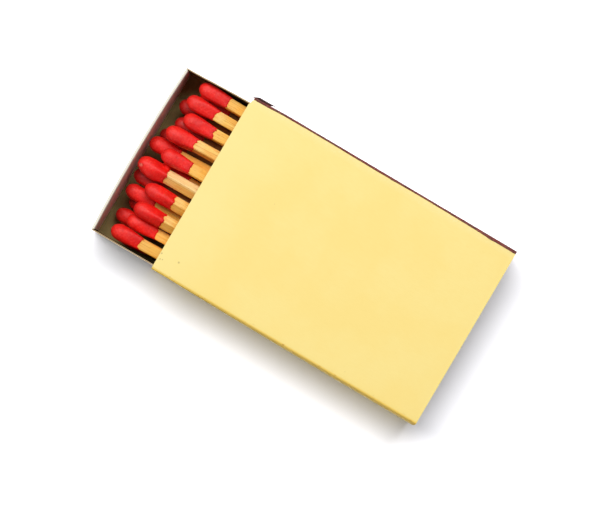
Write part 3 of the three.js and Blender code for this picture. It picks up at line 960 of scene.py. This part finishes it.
def stick_tree():
    """Sticks: square, with raised fibres, a slight bow and a split tail."""
    shape = ShapeTree("split_sticks", {
        "Rings": "NodeSocketInt", "Sides": "NodeSocketInt", "Width": "NodeSocketFloat",
        "Tail": "NodeSocketFloat", "End": "NodeSocketFloat", "Fibres": "NodeSocketFloat",
        "Seed": "NodeSocketFloat", "Finish": "NodeSocketMaterial",
    })
    r = shape.recipe
    copies = shape.copies(shape.input("Rings"), shape.input("Sides"))
    along = shape.carried("along")
    own = shape.carried("match_id")
    a, b = shape.square_ring(shape.carried("around"))
    seed = shape.input("Seed")
    offset = r.joined(own * 11.3 + seed, own * 4.9, own * 8.3)
    gap = 1.0 / (shape.input("Rings") - 1.0)
    run = ((along - gap) / (1.0 - 2.0 * gap)).at_least(0.0).at_most(1.0)
    capped = along.above(0.5 * gap) * (1.0 - along.above(1.0 - 0.5 * gap))
    x = -shape.input("Tail") + run * (shape.input("Tail") - shape.input("End"))
    half = shape.input("Width") * 0.5 * capped
    y, z = shape.rounded(a, b, 14.0)
    at = r.vector("ADD", r.joined(x * 0.05, y, z), offset)
    ridge = r.noise(at, 2.2, 3.0, 0.6) - 0.5
    bow = r.noise(r.vector("ADD", r.joined(x * 0.05, 0.0, 0.0), offset), 1.0, 1.0, 0.5) - 0.5
    half = half * (1.0 + ridge * shape.input("Fibres"))
    split = r.noise(r.vector("ADD", r.joined(y * 1.4, z * 1.4, 0.0), offset), 1.6, 2.0, 0.6) - 0.5
    x = x - split * (1.0 - run.smooth(0.0, 0.02)) * 0.5 * capped
    shape.lay(copies, r.joined(x, y * half + bow * 0.12, z * half))
    return shape


def shape_row(name, points, shape, values):
    """Runs a shape tree on a row's points and keeps the result as a plain mesh."""
    maker = new_object(name + "_points", points)
    modifier = maker.modifiers.new("shape", "NODES")
    modifier.node_group = shape.tree
    for label, value in values.items():
        modifier[shape.identifiers[label]] = value
    bpy.context.view_layer.update()
    graph = bpy.context.evaluated_depsgraph_get()
    mesh = bpy.data.meshes.new_from_object(maker.evaluated_get(graph), depsgraph=graph)
    mesh.name = name
    maker.modifiers.remove(modifier)
    bpy.data.objects.remove(maker)
    return mesh


def make_matches(wood, red):
    """The sticks and the heads of each of the three rows."""
    sticks = stick_tree()
    heads = head_tree()
    for row, label in enumerate(("bottom", "middle", "top")):
        names, length, points = match_points(label + "_matches", row)
        stick_mesh = shape_row(label + "_sticks", points, sticks, {
            "Rings": 70, "Sides": 33, "Width": STICK_WIDTH, "Tail": length, "End": STICK_STOPS_SHORT,
            "Fibres": 0.13, "Seed": 3.0, "Finish": wood,
        })
        head_mesh = shape_row(label + "_heads", points.copy(), heads, {
            "Rings": 36, "Sides": 41, "Length": HEAD_LENGTH, "Nose": HEAD_NOSE, "Lip": HEAD_LIP,
            "Lumps": 0.2, "Seed": 5.0, "Finish": red,
        })
        new_piece(label + "_sticks", stick_mesh, "tray", [n + "_stick" for n in names])
        new_piece(label + "_heads", head_mesh, "tray", [n + "_head" for n in names])


def make_floor():
    reach = FLOOR_REACH
    mesh = bpy.data.meshes.new("studio_floor")
    z = CAD_BOX[0].z - FLOOR_DROP
    corners = [(-reach, -reach, z), (reach, -reach, z), (reach, reach, z), (-reach, reach, z)]
    mesh.from_pydata(corners, [], [(0, 1, 2, 3)])
    mesh.materials.append(studio_floor())
    floor = new_object("studio_floor", mesh)


def aimed(place, target, up):
    """The turn of a camera or lamp at a place that looks at a target."""
    back = (place - target).normalized()
    right = up.cross(back).normalized()
    return Matrix((right, back.cross(right), back)).transposed().to_4x4()


def add_lamp(name, toward, elevation, distance, width, height, watts, colour):
    lamp = bpy.data.lights.new(name, "AREA")
    lamp.shape = "RECTANGLE"
    lamp.size = width
    lamp.size_y = height
    lamp.energy = watts
    lamp.color = colour
    holder = new_object(name, lamp)
    flat = math.cos(elevation) * distance
    away = Vector((math.cos(toward) * flat, math.sin(toward) * flat, math.sin(elevation) * distance))
    place = LAMP_AIM + away
    holder.matrix_world = Matrix.Translation(place) @ aimed(place, LAMP_AIM, Vector((0, 0, 1)))


def make_light():
    """A window lamp, a faint fill from the other side, and dim surroundings that are seen as white."""
    add_lamp(
        "window_light", toward=math.radians(-52), elevation=math.radians(64), distance=0.9,
        width=1.0, height=0.38, watts=9.45, colour=(1.0, 1.0, 0.99))
    add_lamp(
        "fill_card", toward=math.radians(75), elevation=math.radians(20), distance=0.9,
        width=0.5, height=0.3, watts=0.7, colour=(1.0, 1.0, 1.0))
    world = bpy.data.worlds.new("studio_white")
    bpy.context.scene.world = world
    world.use_nodes = True
    world.node_tree.nodes.clear()
    r = Recipe(world.node_tree)
    seen = r.seen_directly()
    upward = r.parts(r.node("ShaderNodeTexCoord").out("Generated"))[2]
    pale_walls = 0.05 + 0.24 * (1 - upward.at_least(0.0)) ** 2.0
    strength = pale_walls * (1 - seen) + seen
    sky = r.node("ShaderNodeBackground", None, {"Color": (1.0, 1.0, 1.0, 1.0), "Strength": strength})
    r.node("ShaderNodeOutputWorld", None, {"Surface": sky})


def make_camera():
    camera = bpy.data.cameras.new("photo_camera")
    camera.sensor_fit = "HORIZONTAL"
    camera.sensor_width = SENSOR
    camera.lens = FOCAL_PIXELS * SENSOR / IMAGE_WIDTH
    camera.clip_start = 0.01
    camera.clip_end = 20.0
    holder = new_object("photo_camera", camera)
    up = Vector((math.cos(IMAGE_UP), math.sin(IMAGE_UP), 0.0))
    holder.matrix_world = Matrix.Translation(CAMERA_PLACE) @ aimed(CAMERA_PLACE, CAMERA_AIM, up)
    bpy.context.scene.camera = holder


bpy.context.scene.view_settings.view_transform = "Standard"
make_camera()
make_light()
make_floor()

yellow = printed_card()
sleeve_back = bare_board(
    "sleeve_back", paint(214, 203, 184), paint(201, 189, 168), paint(176, 160, 136))
sleeve_edge = bare_board(
    "sleeve_edge", paint(232, 208, 150), paint(220, 194, 134), paint(190, 162, 110))
tray_white = bare_board(
    "tray_white", paint(246, 242, 226), paint(243, 239, 222), paint(234, 228, 210))
tray_grey = bare_board(
    "tray_grey", paint(138, 113, 76), paint(122, 99, 65), paint(98, 77, 50),
    gloss=0.0, painted_lift=paint(196, 192, 128))
tray_edge = bare_board(
    "tray_edge", paint(206, 184, 146), paint(188, 162, 122), paint(128, 98, 68))
sleeve_place = make_sleeve(yellow, sleeve_back, sleeve_edge)
make_friction_coat(friction_coat(), sleeve_place)
make_tray(tray_white, tray_grey, tray_edge)
make_matches(match_wood(), dipped_red())
